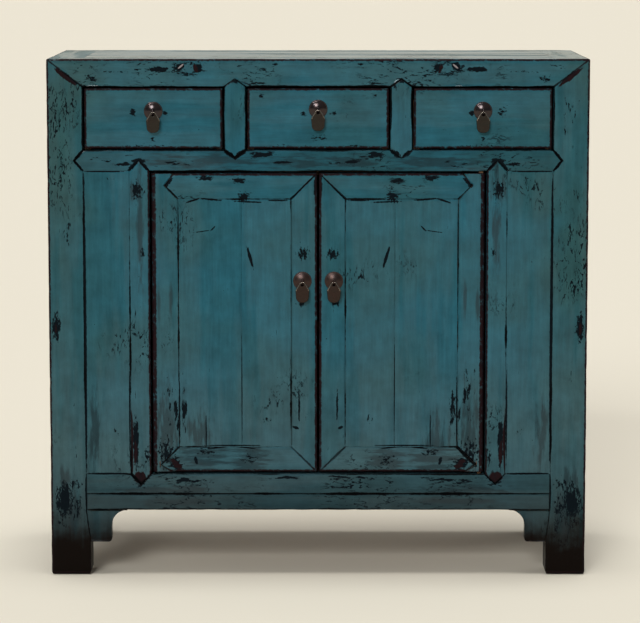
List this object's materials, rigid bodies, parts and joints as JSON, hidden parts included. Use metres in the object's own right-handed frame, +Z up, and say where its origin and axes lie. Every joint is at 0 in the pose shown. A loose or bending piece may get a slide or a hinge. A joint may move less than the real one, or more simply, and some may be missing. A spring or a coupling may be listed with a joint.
{
  "type": "sideboard",
  "caption": "Lacquered post-and-rail sideboard with drawers above a pair of pivot-hung doors, fixed side panels, a bracketed apron and swinging drop pulls.",
  "frame": {"origin": "on the floor, at the centre of the whole footprint with the pulls included", "axes": "+X to the right seen from the front, +Y from the front to the back, +Z up"},
  "size_m": [0.96, 0.4162, 0.927],
  "materials": {
    "lacquer": "blue-green lacquer over wood, half gloss, worn through to dark red-brown at edges and joints",
    "bare_wood": "bare planed softwood, darkened with age",
    "bronze": "dark patinated brass, rubbed bright at the edges"
  },
  "bodies": {
    "carcase": {"front_left_post": "lacquer", "front_right_post": "lacquer", "rear_posts": "lacquer", "top_front_rail": "lacquer", "top_rear_rail": "lacquer", "top_side_rails": "lacquer", "top_panel": "lacquer", "top_battens": "bare_wood", "drawer_dividers": "lacquer", "middle_rail": "lacquer", "bottom_rail": "lacquer", "front_apron": "lacquer", "apron_brackets": "lacquer", "door_jambs": "lacquer", "fixed_front_panels": "lacquer", "side_panels": "lacquer", "side_bottom_rails": "lacquer", "rear_rails": "bare_wood", "back_boards": "bare_wood", "cabinet_floor": "bare_wood", "shelf": "bare_wood", "shelf_cleats": "bare_wood", "drawer_runners": "bare_wood"},
    "left_drawer": {"left_drawer_front": "lacquer", "left_drawer_sides": "bare_wood", "left_drawer_back": "bare_wood", "left_drawer_bottom": "bare_wood", "left_drawer_pull_plate": "bronze", "left_drawer_pull_pin": "bronze"},
    "left_drawer_drop": {"left_drawer_pull_drop": "bronze"},
    "centre_drawer": {"centre_drawer_front": "lacquer", "centre_drawer_sides": "bare_wood", "centre_drawer_back": "bare_wood", "centre_drawer_bottom": "bare_wood", "centre_drawer_pull_plate": "bronze", "centre_drawer_pull_pin": "bronze"},
    "centre_drawer_drop": {"centre_drawer_pull_drop": "bronze"},
    "right_drawer": {"right_drawer_front": "lacquer", "right_drawer_sides": "bare_wood", "right_drawer_back": "bare_wood", "right_drawer_bottom": "bare_wood", "right_drawer_pull_plate": "bronze", "right_drawer_pull_pin": "bronze"},
    "right_drawer_drop": {"right_drawer_pull_drop": "bronze"},
    "left_door": {"left_door_hinge_stile": "lacquer", "left_door_meeting_stile": "lacquer", "left_door_top_rail": "lacquer", "left_door_bottom_rail": "lacquer", "left_door_panel": "lacquer", "left_door_pull_plate": "bronze", "left_door_pull_pin": "bronze"},
    "left_door_drop": {"left_door_pull_drop": "bronze"},
    "right_door": {"right_door_hinge_stile": "lacquer", "right_door_meeting_stile": "lacquer", "right_door_top_rail": "lacquer", "right_door_bottom_rail": "lacquer", "right_door_panel": "lacquer", "right_door_pull_plate": "bronze", "right_door_pull_pin": "bronze"},
    "right_door_drop": {"right_door_pull_drop": "bronze"}
  },
  "joints": [
    {"name": "left_drawer_slide", "type": "slide", "parent": "carcase", "child": "left_drawer", "axis": [0, -1, 0], "range_m": [0, 0.25]},
    {"name": "left_drawer_drop_swing", "type": "hinge", "parent": "left_drawer", "child": "left_drawer_drop", "pos_m": [-0.29125, -0.2025, 0.835], "axis": [-1, 0, 0], "range_deg": [-12, 190]},
    {"name": "centre_drawer_slide", "type": "slide", "parent": "carcase", "child": "centre_drawer", "axis": [0, -1, 0], "range_m": [0, 0.25]},
    {"name": "centre_drawer_drop_swing", "type": "hinge", "parent": "centre_drawer", "child": "centre_drawer_drop", "pos_m": [0, -0.2025, 0.8385], "axis": [-1, 0, 0], "range_deg": [-12, 190]},
    {"name": "right_drawer_slide", "type": "slide", "parent": "carcase", "child": "right_drawer", "axis": [0, -1, 0], "range_m": [0, 0.25]},
    {"name": "right_drawer_drop_swing", "type": "hinge", "parent": "right_drawer", "child": "right_drawer_drop", "pos_m": [0.29125, -0.2025, 0.835], "axis": [-1, 0, 0], "range_deg": [-12, 190]},
    {"name": "left_door_hinge", "type": "hinge", "parent": "carcase", "child": "left_door", "pos_m": [-0.2885, -0.1844, 0.4565], "axis": [0, 0, -1], "range_deg": [0, 100]},
    {"name": "left_door_drop_swing", "type": "hinge", "parent": "left_door", "child": "left_door_drop", "pos_m": [-0.028, -0.2025, 0.533], "axis": [-1, 0, 0], "range_deg": [-12, 190]},
    {"name": "right_door_hinge", "type": "hinge", "parent": "carcase", "child": "right_door", "pos_m": [0.2885, -0.1844, 0.4565], "axis": [0, 0, 1], "range_deg": [0, 100]},
    {"name": "right_door_drop_swing", "type": "hinge", "parent": "right_door", "child": "right_door_drop", "pos_m": [0.028, -0.2025, 0.533], "axis": [-1, 0, 0], "range_deg": [-12, 190]}
  ]
}
